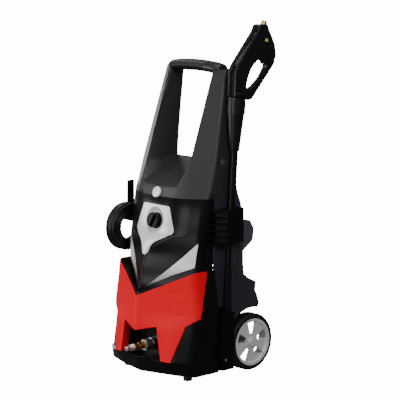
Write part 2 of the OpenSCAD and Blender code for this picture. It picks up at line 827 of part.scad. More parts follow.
module gun_shell(side) {
    on_lance() scale([side, 1, 1])
        difference() {
            union() {
                along_x(GUN_BODY, 0, gun_half);
                along_x(GUN_GUARD, 0, 9);
            }
            along_x(TRIGGER_SLOT, -1, 7.6);
            translate([0, 0, 757]) cylinder(h = 74, r = 10.2);
            translate([0, 0, 740]) cylinder(h = 17, r = gun_collar_r + 0.1);
            translate([-1, lock_at[0], lock_at[1]]) rotate([0, 90, 0]) cylinder(h = 30, r = 5.06);
            translate([-1, gun_pivot[0], gun_pivot[1]]) rotate([0, 90, 0]) cylinder(h = 12, r = 2.55);
            on_inlet() translate([0, 0, -2]) cylinder(h = 40, r = gun_inlet_r + 0.8);
            for (q = GUN_SCREWS)
                translate([gun_half - 4, q[0], q[1]]) rotate([0, 90, 0]) cylinder(h = 10, r = gun_screw_r);
        }
}

module gun_screws() {
    on_lance()
        for (q = GUN_SCREWS)
            translate([gun_half - 4, q[0], q[1]]) rotate([0, 90, 0]) cylinder(h = 1.4, r = gun_screw_r - 0.2);
}

module gun_valve() {
    on_lance() {
        translate([0, 0, 760]) cylinder(h = 60, r = 10);
        translate([0, 0, 820]) cylinder(h = 10, r = 4);
    }
}

module gun_inlet() {
    on_lance()
        on_inlet()
            difference() {
                union() {
                    cylinder(h = 23, r = gun_inlet_r + 0.6);
                    cylinder(h = 31, r = gun_inlet_r);
                }
                translate([0, 0, 10]) cylinder(h = 30, r = 4.5);
            }
}

module gun_collar() {
    on_lance()
        difference() {
            translate([0, 0, 713]) cylinder(h = 44, r = gun_collar_r);
            translate([0, 0, 712]) cylinder(h = 60, r = lance_d / 2);
            translate([0, 0, 732]) rotate([0, 90, -40]) translate([0, 0, gun_collar_r - 3]) cylinder(h = 9, r = gun_screw_r);
        }
}

module lance_sleeve() {
    on_lance()
        difference() {
            translate([0, 0, sleeve_end]) cylinder(h = 713 - sleeve_end, r1 = 14, r2 = gun_collar_r - 2);
            translate([0, 0, sleeve_end - 1]) cylinder(h = 150, r = lance_d / 2);
        }
}

module lance_tube() {
    on_lance()
        difference() {
            union() {
                translate([0, 0, 60]) cylinder(h = 300, r = lance_d / 2);
                translate([0, 0, 350]) cylinder(h = sleeve_end - 350, r = lance_upper_d / 2);
                translate([0, 0, sleeve_end]) cylinder(h = 757 - sleeve_end, r = lance_d / 2);
            }
            translate([0, 0, 55]) cylinder(h = 710, r = 4);
        }
}

module nozzle() {
    on_lance()
        difference() {
            union() {
                cylinder(h = 12, r1 = 8, r2 = 10);
                translate([0, 0, 12]) cylinder(h = 62, r = 12);
            }
            translate([0, 0, 60]) cylinder(h = 20, r = lance_d / 2 + 0.06);
            translate([0, 0, 30]) cylinder(h = 40, r = 4);
            translate([0, 0, -1]) cylinder(h = 40, r = 1);
        }
}

module trigger() {
    on_lance()
        difference() {
            along_x(TRIGGER, -7, 7);
            translate([-10, gun_pivot[0], gun_pivot[1]]) rotate([0, 90, 0]) cylinder(h = 20, r = 2.56);
        }
}

module trigger_pin() {
    on_lance() translate([-10, gun_pivot[0], gun_pivot[1]]) rotate([0, 90, 0]) cylinder(h = 20, r = 2.5);
}

module lock_button() {
    on_lance()
        translate([-gun_half - 2, lock_at[0], lock_at[1]])
            rotate([0, 90, 0]) cylinder(h = 2 * gun_half + 4, r = 5);
}

// ---------------------------------------------------------------- the object

charcoal = [0.22, 0.22, 0.24];
black = [0.06, 0.06, 0.07];
slate = [0.25, 0.27, 0.32];
silver = [0.78, 0.79, 0.8];

color(black) base_pan();
color(black) front_housing();
color(slate) rear_housing();
color([0.86, 0.08, 0.06]) red_front_cover();
color(black) upper_front_cover();
color(silver) control_panel();
color(silver) mirror([1, 0, 0]) panel_trim();  // panel_trim_left
color(silver) panel_trim();  // panel_trim_right
color(silver) badge_disc();
union() { color(charcoal) intersection() { handle_moulding(); handle_front_half(); } }  // handle_front_shell
union() { color(charcoal) difference() { handle_moulding(); handle_front_half(); } }  // handle_rear_shell
color(black) handle_core();
color(black) handle_grip();
color(slate) rear_hose_hook();
color(black) cord_hook();
color(black) lance_bracket();
color(black) lance_pocket();
color([0.6, 0.6, 0.62]) wheel_axle();
color(black) rubber_feet();
color([0.5, 0.5, 0.52]) cover_screws();
color([0.8, 0.62, 0.3]) water_inlet();
color([0.8, 0.6, 0.35]) outlet_adaptor();
color(silver) outlet_nut();
color(silver) outlet_nipple();
color(charcoal) switch_box();
color(slate) capacitor();
color([0.55, 0.56, 0.58]) motor_can();
color([0.55, 0.56, 0.58]) motor_end_cap();
color(slate) motor_bracket();
color(silver) pump_housing();
color(silver) pump_head();
color(silver) pump_pistons();
color(black) inlet_pipe();
color(silver) outlet_pipe();
color(black) cord_gland();
color(black) power_cord();
color(black) power_cord_coil();
color(black) power_plug();
color(black) power_knob();
color(black) at_wheel(-1) wheel_tyre();  // wheel_left_tyre
color(silver) at_wheel(-1) wheel_rim();  // wheel_left_rim
color(silver) at_wheel(-1) wheel_cap();  // wheel_left_cap
color(black) at_wheel(1) wheel_tyre();  // wheel_right_tyre
color(silver) at_wheel(1) wheel_rim();  // wheel_right_rim
color(silver) at_wheel(1) wheel_cap();  // wheel_right_cap
color([0.6, 0.6, 0.62]) rotor_shaft();
color(black) cooling_fan();
color(silver) swash_plate();
color(black) gun_shell(-1);  // gun_shell_left
color(black) gun_shell(1);  // gun_shell_right
color(silver) gun_screws();
color(silver) gun_valve();
color([0.8, 0.62, 0.3]) gun_inlet();
color(black) gun_collar();
color(black) lance_sleeve();
color(black) lance_tube();
color(black) nozzle();
color(black) trigger();
color(silver) trigger_pin();
color([0.9, 0.82, 0.2]) lock_button();
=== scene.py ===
"""Looks of an upright pressure washer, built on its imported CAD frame.

The tables and helpers work in millimetres and in the frame's own axes: X to the machine's
right, Y to the back, Z up. new_piece() turns them into metres.
"""
import json
import math

import bpy
import bmesh
from mathutils import Matrix, Vector


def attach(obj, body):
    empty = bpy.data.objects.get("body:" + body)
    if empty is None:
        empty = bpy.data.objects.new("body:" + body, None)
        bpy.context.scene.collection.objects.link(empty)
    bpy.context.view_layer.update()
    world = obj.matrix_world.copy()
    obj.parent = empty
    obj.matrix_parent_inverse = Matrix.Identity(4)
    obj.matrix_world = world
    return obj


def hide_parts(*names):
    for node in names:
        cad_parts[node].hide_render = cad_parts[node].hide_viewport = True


MM = 0.001
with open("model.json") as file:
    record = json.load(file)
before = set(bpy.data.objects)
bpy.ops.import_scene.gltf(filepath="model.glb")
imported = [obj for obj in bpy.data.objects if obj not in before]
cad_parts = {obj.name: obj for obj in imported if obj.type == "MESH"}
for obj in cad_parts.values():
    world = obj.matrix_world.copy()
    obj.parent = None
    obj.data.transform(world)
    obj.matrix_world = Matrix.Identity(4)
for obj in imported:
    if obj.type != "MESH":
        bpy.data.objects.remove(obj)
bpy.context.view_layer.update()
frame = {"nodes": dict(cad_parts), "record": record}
nodes = frame["nodes"]
scene = bpy.context.scene


# ------------------------------------------------------------------ camera

CAMERA_AT = (3.909, -3.684, 1.377)
CAMERA_AIM = (0, 0.037, 0.4729)
CAMERA_LENS = 173.8


def make_camera():
    """The photo's view of the machine, in metres."""
    data = bpy.data.cameras.new("camera")
    data.lens = CAMERA_LENS
    data.sensor_width = 36
    data.clip_start = 0.1
    data.clip_end = 60
    camera = bpy.data.objects.new("camera", data)
    scene.collection.objects.link(camera)
    camera.location = CAMERA_AT
    aim = Vector(CAMERA_AIM) - camera.location
    camera.rotation_euler = aim.to_track_quat("-Z", "Y").to_euler()
    scene.camera = camera


make_camera()


# ------------------------------------------------------------------ materials

def new_material(name, colour, rough, metal=0.0, shine=0.5):
    """A plain material, with shine as its specular level."""
    material = bpy.data.materials.new(name)
    material.use_nodes = True
    shader = material.node_tree.nodes["Principled BSDF"]
    shader.inputs["Base Color"].default_value = (*colour, 1)
    shader.inputs["Roughness"].default_value = rough
    shader.inputs["Metallic"].default_value = metal
    shader.inputs["Specular IOR Level"].default_value = shine
    return material


def add_grain(material, size_mm, height_mm, rough_spread=0.0):
    """A fine moulded grain: noise drives the bump, and the roughness a little."""
    tree = material.node_tree
    shader = tree.nodes["Principled BSDF"]
    place = tree.nodes.new("ShaderNodeTexCoord")
    noise = tree.nodes.new("ShaderNodeTexNoise")
    noise.inputs["Scale"].default_value = 1 / (size_mm * MM)
    noise.inputs["Detail"].default_value = 3
    bump = tree.nodes.new("ShaderNodeBump")
    bump.inputs["Strength"].default_value = 1
    bump.inputs["Distance"].default_value = height_mm * MM
    tree.links.new(place.outputs["Object"], noise.inputs["Vector"])
    tree.links.new(noise.outputs["Fac"], bump.inputs["Height"])
    tree.links.new(bump.outputs["Normal"], shader.inputs["Normal"])
    if rough_spread:
        spread = tree.nodes.new("ShaderNodeMapRange")
        rough = shader.inputs["Roughness"].default_value
        spread.inputs["To Min"].default_value = rough - rough_spread
        spread.inputs["To Max"].default_value = rough + rough_spread
        tree.links.new(noise.outputs["Fac"], spread.inputs["Value"])
        tree.links.new(spread.outputs["Result"], shader.inputs["Roughness"])
    return material


def add_fade(material, low_mm, high_mm, dark, light):
    """Makes a material's grey go from dark at one height to light at another."""
    tree = material.node_tree
    place = tree.nodes.new("ShaderNodeTexCoord")
    axes = tree.nodes.new("ShaderNodeSeparateXYZ")
    fade = tree.nodes.new("ShaderNodeMapRange")
    fade.inputs["From Min"].default_value = low_mm * MM
    fade.inputs["From Max"].default_value = high_mm * MM
    fade.inputs["To Min"].default_value = dark
    fade.inputs["To Max"].default_value = light
    tree.links.new(place.outputs["Object"], axes.inputs["Vector"])
    tree.links.new(axes.outputs["Z"], fade.inputs["Value"])
    tree.links.new(fade.outputs["Result"], tree.nodes["Principled BSDF"].inputs["Base Color"])


# Base colour, roughness, metal, shine, and the grain's size, height and spread of roughness.
LOOKS = {
    "black_satin": ((0.005, 0.005, 0.005), 0.3, 0, 0.16, 0.8, 0.012, 0.04),
    "black_plastic": ((0.004, 0.004, 0.005), 0.4, 0, 0.15, 0.8, 0.02, 0.05),
    "charcoal": ((0.026, 0.025, 0.028), 0.48, 0, 0.45, 0.7, 0.02, 0.05),
    "slate": ((0.03, 0.03, 0.042), 0.46, 0, 0.4, 0.7, 0.02, 0.05),
    "grey_plastic": ((0.075, 0.075, 0.095), 0.46, 0, 0.5, 0.7, 0.02, 0.05),
    "red": ((0.97, 0.0, 0.015), 0.42, 0, 0.1, 1.2, 0.006, 0.03),
    "silver": ((0.84, 0.85, 0.87), 0.34, 0.2, 0.6, 0.5, 0.006, 0),
    # The trims' silver: its grey is replaced by a painted reflection that fades with height.
    "trim_silver_painted_reflection": ((0.8, 0.81, 0.83), 0.34, 0.2, 0.6, 0.5, 0.006, 0.04),
    "rubber": ((0.01, 0.01, 0.012), 0.45, 0, 0.5, 0.5, 0.02, 0.06),
    "tyre": ((0.007, 0.007, 0.007), 0.6, 0, 0.4, 0.9, 0.03, 0.06),
    "steel": ((0.55, 0.55, 0.57), 0.32, 1, 0.5, 0.3, 0.004, 0.05),
    "steel_paint": ((0.2, 0.21, 0.23), 0.4, 0, 0.5, 1.5, 0.01, 0),
    "steel_black": ((0.005, 0.005, 0.006), 0.3, 0, 0.2, 0.5, 0.006, 0.03),
    "aluminium": ((0.65, 0.66, 0.68), 0.5, 1, 0.5, 1.0, 0.03, 0.08),
    "brass": ((0.62, 0.4, 0.18), 0.38, 1, 0.5, 0.4, 0.004, 0.05),
    "nickel": ((0.8, 0.77, 0.72), 0.36, 1, 0.5, 0.4, 0.004, 0.05),
    "gun_black": ((0.005, 0.005, 0.008), 0.36, 0, 0.3, 0.7, 0.015, 0.05),
    "yellow": ((0.78, 0.66, 0.08), 0.35, 0, 0.5, 0.8, 0.006, 0),
    "cord": ((0.005, 0.005, 0.006), 0.42, 0, 0.4, 0.5, 0.01, 0.05)}

# Heights between which the light trims under the V fade, a painted reflection that is dark low down and
# light higher up, and their grey at either end.
TRIM_PAINTED_REFLECTION = (268, 325, 0.03, 0.9)

# CAD nodes whose look differs from their slot's.
OWN_LOOKS = {"rear_hose_hook": "grey_plastic"}


def make_materials():
    made = {}
    for name, (colour, rough, metal, shine, size, height, spread) in LOOKS.items():
        material = new_material("look_" + name, colour, rough, metal, shine)
        made[name] = add_grain(material, size, height, spread)
    # Paints a reflection on the trims: dark low down, light higher up.
    add_fade(made["trim_silver_painted_reflection"], *TRIM_PAINTED_REFLECTION)
    return made


MATERIALS = make_materials()


# ------------------------------------------------------------------ curves

def lerp(a, b, t):
    """The point at t between two points."""
    return tuple(p + (q - p) * t for p, q in zip(a, b))


def bez(a, b, c, t):
    """The point at t on the curve from a to c that b pulls on."""
    return lerp(lerp(a, b, t), lerp(b, c, t), t)


def toward(a, b, reach):
    """The point at a reach from a on the way to b, and never as far as the middle."""
    gap = math.dist(a, b)
    return lerp(a, b, min(reach, gap * 0.45) / gap)


def corner(before, at, after, cut, n):
    """The curve that rounds the corner at a point, n + 1 points from one side to the other."""
    start = toward(at, before, cut)
    end = toward(at, after, cut)
    return [bez(start, at, end, k / n) for k in range(n + 1)]


def between(a, b, n):
    """The points that part a straight stretch into n steps, without its ends."""
    return [lerp(a, b, k / n) for k in range(1, n)]


def rounded_ring(points, cuts, n=5):
    """A closed outline with each corner rounded. cuts is one reach, or one for each corner."""
    if not hasattr(cuts, "__len__"):
        cuts = [cuts] * len(points)
    ring = []
    for i, at in enumerate(points):
        after = points[(i + 1) % len(points)]
        if cuts[i] > 0:
            ring += corner(points[i - 1], at, after, cuts[i], n)
        else:
            ring.append(at)
    return ring


def smooth_line(points, n):
    """A smooth open curve through points, n steps to each stretch (Catmull-Rom)."""
    padded = [lerp(points[1], points[0], 2)] + list(points) + [lerp(points[-2], points[-1], 2)]
    line = []
    for i in range(1, len(padded) - 2):
        a, b, c, d = padded[i - 1:i + 3]
        for k in range(n):
            t = k / n
            line.append(tuple(
                0.5 * (2 * q + (r - p) * t + (2 * p - 5 * q + 4 * r - s) * t * t
                       + (3 * q - p - 3 * r + s) * t ** 3)
                for p, q, r, s in zip(a, b, c, d)))
    line.append(tuple(points[-1]))
    return line


def row_at(table, z, smooth=True):
    """A table's row at a height, by a smooth curve or straight between its own rows."""
    if z <= table[0][0]:
        return (z, *table[0][1:])
    if z >= table[-1][0]:
        return (z, *table[-1][1:])
    i = max(k for k in range(len(table) - 1) if table[k][0] <= z)
    a, b = table[i], table[i + 1]
    t = (z - a[0]) / (b[0] - a[0])
    if not smooth:
        return lerp(a, b, t)
    before = table[max(i - 1, 0)]
    after = table[min(i + 2, len(table) - 1)]
    row = []
    for p, q, r, s in zip(before, a, b, after):
        rise_a = (r - p) / (b[0] - before[0]) * (b[0] - a[0])
        rise_b = (s - q) / (after[0] - a[0]) * (b[0] - a[0])
        row.append(q * (2 * t ** 3 - 3 * t * t + 1) + rise_a * (t ** 3 - 2 * t * t + t)
                   + r * (3 * t * t - 2 * t ** 3) + rise_b * (t ** 3 - t * t))
    row[0] = z
    return tuple(row)


# ------------------------------------------------------------------ meshes

def new_piece(name, verts, faces, material, sharp=35):
    """A mesh object from points in millimetres, with its faces turned outward."""
    mesh = bpy.data.meshes.new(name)
    mesh.from_pydata([[c * MM for c in v] for v in verts], [], faces)
    work = bmesh.new()
    work.from_mesh(mesh)
    bmesh.ops.remove_doubles(work, verts=work.verts, dist=0.01 * MM)
    bmesh.ops.recalc_face_normals(work, faces=work.faces)
    work.to_mesh(mesh)
    work.free()
    piece = bpy.data.objects.new(name, mesh)
    scene.collection.objects.link(piece)
    mesh.materials.append(MATERIALS[material])
    shade(piece, sharp)
    return piece


def shade(piece, sharp):
    """Smooth shading that stays sharp at edges over an angle in degrees."""
    piece.data.shade_smooth()
    piece.data.set_sharp_from_angle(angle=math.radians(sharp))


def soften(piece, width, segments=3, angle=32, weights=False):
    """Rounds a piece's edges, as a mould does."""
    bevel = piece.modifiers.new("soft_edges", "BEVEL")
    bevel.width = width * MM
    bevel.segments = segments
    bevel.limit_method = "WEIGHT" if weights else "ANGLE"
    bevel.angle_limit = math.radians(angle)
    bevel.harden_normals = False
    bevel.miter_outer = "MITER_ARC"
    normals = piece.modifiers.new("flat_faces", "WEIGHTED_NORMAL")
    normals.keep_sharp = False
    normals.weight = 60
    return piece


def apply_modifiers(piece):
    """Bakes a piece's modifiers into its mesh."""
    graph = bpy.context.evaluated_depsgraph_get()
    baked = bpy.data.meshes.new_from_object(piece.evaluated_get(graph))
    piece.modifiers.clear()
    old = piece.data
    piece.data = baked
    bpy.data.meshes.remove(old)
    return piece


def combine(piece, cutter, operation="DIFFERENCE"):
    """Cuts, joins or intersects a piece with a helper solid, which is then removed."""
    boolean = piece.modifiers.new("cut", "BOOLEAN")
    boolean.operation = operation
    boolean.solver = "EXACT"
    boolean.object = cutter
    apply_modifiers(piece)
    mesh = cutter.data
    bpy.data.objects.remove(cutter)
    bpy.data.meshes.remove(mesh)
    return piece


def join(piece, other):
    """Adds another solid's mesh to a piece, without cutting either."""
    work = bmesh.new()
    work.from_mesh(piece.data)
    work.from_mesh(other.data)
    work.to_mesh(piece.data)
    work.free()
    mesh = other.data
    bpy.data.objects.remove(other)
    bpy.data.meshes.remove(mesh)
    return piece


def clean(piece, sharp=32):
    """Welds what a cut leaves and sets the shading again."""
    work = bmesh.new()
    work.from_mesh(piece.data)
    bmesh.ops.remove_doubles(work, verts=work.verts, dist=0.05 * MM)
    bmesh.ops.dissolve_degenerate(work, edges=work.edges, dist=0.02 * MM)
    work.to_mesh(piece.data)
    work.free()
    shade(piece, sharp)
    return piece


def stand_in_for(piece, body, *cad_nodes):
    """Makes a piece ride on a body and be shown in place of CAD nodes."""
    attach(piece, body)
    if cad_nodes:
        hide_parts(*cad_nodes)
    return piece


def loft(name, rings, material, sharp=35, caps=True):
    """A solid through closed rings that all have the same number of points."""
    n = len(rings[0])
    verts = [p for ring in rings for p in ring]
    faces = []
    for j in range(len(rings) - 1):
        for i in range(n):
            a = j * n + i
            b = j * n + (i + 1) % n
            faces.append((a, b, b + n, a + n))
    if caps:
        faces.append(tuple(range(n)))
        faces.append(tuple(range(len(verts) - 1, len(verts) - 1 - n, -1)))
    return new_piece(name, verts, faces, material, sharp)


def sheet(name, rows, material, sharp=35, back=None):
    """A plate between rows of outer points and back rows, which are a wall's thickness in."""
    if back is None:
        back = inset_rows(rows, WALL)
    m, n = len(rows), len(rows[0])
    verts = [p for row in rows for p in row] + [p for row in back for p in row]
    inner = m * n
    faces = []
    for j in range(m - 1):
        for i in range(n - 1):
            a = j * n + i
            faces.append((a, a + 1, a + n + 1, a + n))
            faces.append((inner + a, inner + a + n, inner + a + n + 1, inner + a + 1))
    edge = list(range(n))
    edge += [j * n + n - 1 for j in range(1, m)]
    edge += [(m - 1) * n + i for i in range(n - 2, -1, -1)]
    edge += [j * n for j in range(m - 2, 0, -1)]
    for k, a in enumerate(edge):
        b = edge[(k + 1) % len(edge)]
        faces.append((a, inner + a, inner + b, b))
    return new_piece(name, verts, faces, material, sharp)


def inset_rows(rows, thickness):
    """Rows of points moved inward, square to the surface."""
    m, n = len(rows), len(rows[0])
    moved = []
    for j in range(m):
        row = []
        for i in range(n):
            along = Vector(rows[j][min(i + 1, n - 1)]) - Vector(rows[j][max(i - 1, 0)])
            up = Vector(rows[min(j + 1, m - 1)][i]) - Vector(rows[max(j - 1, 0)][i])
            out = along.cross(up)
            if out.length < 1e-9:
                out = Vector((0, -1, 0))
            row.append(tuple(Vector(rows[j][i]) - out.normalized() * thickness))
        moved.append(row)
    return moved


def prism(name, outline, start, end, axis, material="black_plastic", sharp=35):
    """A straight prism. The outline is (y, z) along X, (x, z) along Y or (x, y) along Z."""
    def place(p, at):
        if axis == "X":
            return (at, p[0], p[1])
        if axis == "Y":
            return (p[0], at, p[1])
        return (p[0], p[1], at)
    return loft(name, [[place(p, start) for p in outline], [place(p, end) for p in outline]],
                material, sharp)


def lathe(name, profile, material, steps=64, sharp=35):
    """A turned solid from (radius, height) points, about the Z axis."""
    rings = []
    for r, z in profile:
        rings.append([(r * math.cos(2 * math.pi * k / steps), r * math.sin(2 * math.pi * k / steps), z)
                      for k in range(steps)])
    return loft(name, rings, material, sharp, caps=False)


def move_mesh(piece, matrix):
    """Turns and places a piece's mesh, with the matrix in millimetres."""
    scaled = matrix.copy()
    scaled.translation = scaled.translation * MM
    piece.data.transform(scaled)
    if scaled.determinant() < 0:
        piece.data.flip_normals()
    return piece


def pair(points):
    """An outline's right half, and its mirror image going back."""
    return list(points) + [(-x, z) for x, z in reversed(points) if abs(x) > 1e-6]


# ------------------------------------------------------------------ driving shapes

WALL = 3
SPLIT_Y = -52  # where the front and rear mouldings meet
BODY_TOP = 505
ARM_TOP = 852  # where the handle's arms end in the grip
WINDOW_HALF = 87
WINDOW_LIP = 532
WINDOW_LIP_Y = -117
WINDOW_REAR_LIP = 596
WINDOW_LIP_DEPTH = 150
WHEEL_R = 81.5
RIM_R = 67
AXLE = (84, WHEEL_R)
TRACK_OUTER = 166
TYRE_INNER = 126

# The knob's own frame: its Z points out of the panel.
KNOB_FRAME = (Matrix.Translation((0, -134, 436)) @ Matrix.Rotation(math.radians(-12), 4, "X")
              @ Matrix.Rotation(math.radians(90), 4, "X"))

# How far the corners of a front section are rounded. The knee is rounder over a height.
NOSE_REACH = 12
KNEE_REACH = 18
UPPER_KNEE_REACH = 40
UPPER_KNEE_Z = 400
SIDE_REACH = 18
CORNER_STEPS = 6

# Plan sections: a height, then the right half of the outline going round from the middle of
# the front: (z, front y, knee x, knee y, side x, side y).
COVER = [
    (244, -204, 8, -200, 152, -120), (271, -190, 8, -187, 150, -110),
    (317, -183, 8, -180, 148, -102), (350, -174, 10, -172, 149, -100),
    (380, -165, 30, -162, 149, -97), (410, -143, 72, -137, 149, -92),
    (440, -134, 76, -131, 150, -88), (480, -128, 80, -125, 150, -80),
    (505, -130, 85, -124, 150, -74)]
RED = [
    (50, -206, 115, -189, 172, -152), (150, -215, 105, -178, 176, -135),
    (187, -213, 105, -165, 177, -133), (250, -208, 98, -162, 165, -134),
    (315, -203, 93, -162, 154, -135)]
HOUSING = [
    (17, -194, 80, -172, 166, -146), (23, -203, 84, -183, 171, -150),
    (57, -206, 115, -189, 172, -152), (58, -202, 112, -185, 168, -148),
    (150, -211, 102, -174, 172, -131), (187, -209, 102, -161, 173, -129)]
HANDLE = [
    (505, -130, 85, -124, 150, -74), (532, -120, 84, -114, 149, -64),
    (597, -93, 84, -88, 147, -45), (852, 1, 88, 4, 120, 21)]

# The rear moulding by height: (z, side x, back y, reach of its back corners).
REAR = [
    (17, 112, 94, 38), (26, 116, 98, 38), (188, 116, 101, 38), (196, 148, 102, 38),
    (300, 149, 102, 90), (440, 149, 101, 90), (480, 150, 76, 50), (505, 150, 50, 18)]

# The handle's back by height: (z, y).
HANDLE_REAR = [(505, 50), (540, 42), (597, 32), (852, 58)]


def v_edge(x):
    """Height of the upper cover's V-shaped lower edge."""
    return 250 + 138 * min(abs(x) / 141, 1) ** 1.12


def red_edge(x):
    """Height of the red cover's top edge."""
    return 233 + 74 * min(abs(x), 155) / 155


def front_half(row, back_y):
    """Right half of a front section, from the nose round the knee and the side to back_y."""
    z, nose_y, knee_x, knee_y, side_x, side_y = row
    nose, knee, side, end = (0, nose_y), (knee_x, knee_y), (side_x, side_y), (side_x, back_y)
    knee_reach = UPPER_KNEE_REACH if z > UPPER_KNEE_Z else KNEE_REACH
    nose_curve = corner((-knee_x, knee_y), nose, knee, NOSE_REACH, CORNER_STEPS)[CORNER_STEPS // 2:]
    knee_curve = corner(nose, knee, side, knee_reach, CORNER_STEPS)
    side_curve = corner(knee, side, end, SIDE_REACH, CORNER_STEPS)
    return (nose_curve + between(nose_curve[-1], knee_curve[0], 10) + knee_curve
            + between(knee_curve[-1], side_curve[0], 14) + side_curve
            + between(side_curve[-1], end, 5) + [end])


def front_line(row, back_y):
    """A whole front section at the row's height, from the left side to the right side."""
    half = front_half(row, back_y)
    return [(-x, y, row[0]) for x, y in reversed(half[1:])] + [(x, y, row[0]) for x, y in half]


def front_point(table, z, column, back_y, smooth):
    """The point of a front section at a height, counted from its left end."""
    return front_line(row_at(table, z, smooth), back_y)[column]


def edge_height(table, edge, column, low, high, back_y, smooth):
    """Height at which a column of a front surface meets an edge curve."""
    for _ in range(30):
        middle = (low + high) / 2
        x = front_point(table, middle, column, back_y, smooth)[0]
        if middle < edge(x):
            low = middle
        else:
            high = middle
    return (low + high) / 2


def front_surface(table, bottom, top, back_y, steps, smooth=True):
    """Rows of a front surface between two edges. An edge is a height or a function of x."""
    count = len(front_line(table[0], back_y))
    low_z, high_z = [], []
    lowest, highest = table[0][0], table[-1][0]
    for column in range(count):
        for edge, found in ((bottom, low_z), (top, high_z)):
            if callable(edge):
                found.append(edge_height(table, edge, column, lowest, highest, back_y, smooth))
            else:
                found.append(edge)
    rows = []
    for k in range(steps + 1):
        rows.append([front_point(table, low_z[c] + (high_z[c] - low_z[c]) * k / steps, c, back_y, smooth)
                     for c in range(count)])
    return rows


def y_at(table, x, z, smooth=True):
    """Depth of a front surface at a place on it."""
    half = front_half(row_at(table, z, smooth), SPLIT_Y)
    x = abs(x)
    for a, b in zip(half, half[1:]):
        if a[0] <= x <= b[0] and b[0] > a[0]:
            return a[1] + (b[1] - a[1]) * (x - a[0]) / (b[0] - a[0])
    return half[-1][1]


def normal_at(table, x, z):
    """Outward direction of a front surface at a place on it."""
    across = (y_at(table, x + 1, z) - y_at(table, x - 1, z)) / 2
    up = (y_at(table, x, z + 1) - y_at(table, x, z - 1)) / 2
    return Vector((across, -1, up)).normalized()


# ------------------------------------------------------------------ power cord

CORD_D = 8.5
COIL_CENTRE = (-169, -90, 392)
COIL_R = 52
COIL_SIDE = 4  # turns across the coil, and as many layers
COIL_STEPS = 24
ROUTE_STEPS = 6

# The cord's routes: the lead from the gland to the coil, and the tail from the coil to the plug.
LEAD = [(-85, 134, 330), (-85, 193, 330), (-144, 212, 294), (-176, 154, 281), (-172, 60, 310),
        (-168, -6, 380), (-164, -22, 457), (-156, -90, 457)]
TAIL = [(-182, -90, 327), (-182, -34, 327), (-172, -34, 272)]


def route(points, n):
    """A smooth line through the middles of a route's legs, from its first point to its last."""
    line = []
    last = len(points) - 2
    for i in range(1, last + 1):
        a = points[0] if i == 1 else lerp(points[i - 1], points[i], 0.5)
        b = points[-1] if i == last else lerp(points[i], points[i + 1], 0.5)
        steps = n if i == last else n - 1
        line += [bez(a, points[i], b, k / n) for k in range(steps + 1)]
    return line


def coil_turns():
    """Turns wound in columns from the body outward, each column going in or out by layers."""
    middle = (COIL_SIDE - 1) / 2
    line = []
    total = COIL_SIDE * COIL_SIDE * COIL_STEPS - COIL_STEPS // 2
    for k in range(total + 1):
        turn = k / COIL_STEPS
        column = min(int(turn // COIL_SIDE), COIL_SIDE - 1)
        place = turn - column * COIL_SIDE
        layer = min(place, COIL_SIDE - 1)
        if column % 2 == 0:
            layer = COIL_SIDE - 1 - layer
        slip = max(0, place - (COIL_SIDE - 0.5)) * 2 if column < COIL_SIDE - 1 else 0
        across = middle - column - slip
        radius = COIL_R + (layer - middle) * CORD_D
        angle = math.radians(90) + 2 * math.pi * turn
        line.append((COIL_CENTRE[0] + across * CORD_D, COIL_CENTRE[1] + radius * math.cos(angle),
                     COIL_CENTRE[2] + radius * math.sin(angle)))
    return line


def eased(line, first, last):
    """The same line with the points from first to last moved halfway to their neighbours' middle."""
    middle = [lerp(lerp(a, c, 0.5), b, 0.5)
              for a, b, c in zip(line[first - 1:], line[first:last], line[first + 1:])]
    return line[:first] + middle + line[last:]


def make_cord():
    """One line from the gland through the coil to the plug, eased where the lead meets the coil."""
    coil = coil_turns()
    lead = route(LEAD, ROUTE_STEPS)
    tail = route(TAIL, ROUTE_STEPS)
    line = eased(lead + coil[2:-1] + tail[1:], len(lead) - 6, len(lead) + 3)
    curve = bpy.data.curves.new("power_cord_line", "CURVE")
    curve.dimensions = "3D"
    curve.bevel_depth = CORD_D / 2 * MM
    curve.bevel_resolution = 4
    curve.resolution_u = 1
    curve.use_fill_caps = True
    spline = curve.splines.new("POLY")
    spline.points.add(len(line) - 1)
    for point, at in zip(spline.points, line):
        point.co = (at[0] * MM, at[1] * MM, at[2] * MM, 1)
    spline.use_smooth = True
    curve.materials.append(MATERIALS["cord"])
    cord = bpy.data.objects.new("power_cord_line", curve)
    scene.collection.objects.link(cord)
    stand_in_for(cord, "body", "power_cord", "power_cord_coil")


make_cord()


# ------------------------------------------------------------------ body mouldings

def front_solid(table, z_values, back_y, inset):
    """A cutter as big as the space behind a front surface, set in from it."""
    rings = []
    for z in z_values:
        line = front_line(row_at(table, z, False), back_y)
        above = [(x, y, z + 1) for x, y, _ in line]
        rings.append([(x, y, z) for x, y, _ in inset_rows([line, above], inset)[0]])
    return loft("cutter", rings, "black_plastic")


# Ends of the red cover's right-hand grooves.
GROOVES = [((64, 233), (155, 277)), ((70, 202), (158, 239)), ((69, 172), (160, 202))]
GROOVE_DEPTH = 1.1
GROOVE_STEPS = 16
BLADE_OUT = 3  # how far the cutting blade stands out of the face


def groove_cutter(start, end, side):
    """A thin blade along the red cover's face, thickest at its middle, for one moulded groove."""
    rings = []
    for k in range(GROOVE_STEPS + 1):
        t = k / GROOVE_STEPS
        x, z = lerp(start, end, t)
        x *= side
        half = 2.2 * (0.35 + math.sin(math.pi * (0.12 + 0.76 * t)))
        y = y_at(RED, x, z, False)
        rings.append([(x, y + GROOVE_DEPTH, z), (x, y - BLADE_OUT, z + half), (x, y - BLADE_OUT, z - half)])
    return loft("cutter", rings, "black_plastic")


